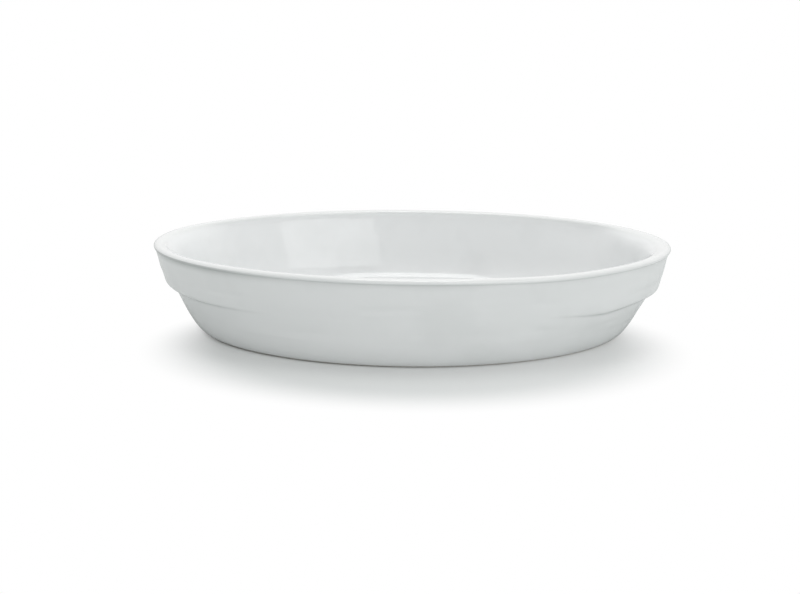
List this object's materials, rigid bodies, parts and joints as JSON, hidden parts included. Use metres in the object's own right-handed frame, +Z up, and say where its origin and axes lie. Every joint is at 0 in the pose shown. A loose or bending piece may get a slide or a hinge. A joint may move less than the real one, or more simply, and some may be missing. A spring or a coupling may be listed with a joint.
{
  "type": "oval baking dish",
  "caption": "Oval baking dish with a flared wall, a rounded lip, a finger ledge under each end and a foot ring to stand on.",
  "frame": {"origin": "on the table, under the middle of the dish", "axes": "+X along the dish, +Y across it, +Z up out of its mouth"},
  "size_m": [0.3, 0.2, 0.05],
  "materials": {
    "glazed_porcelain": "glossy clear glaze over white porcelain, bare on the foot ring"
  },
  "bodies": {
    "root": {"baking_dish": "glazed_porcelain"}
  },
  "joints": []
}
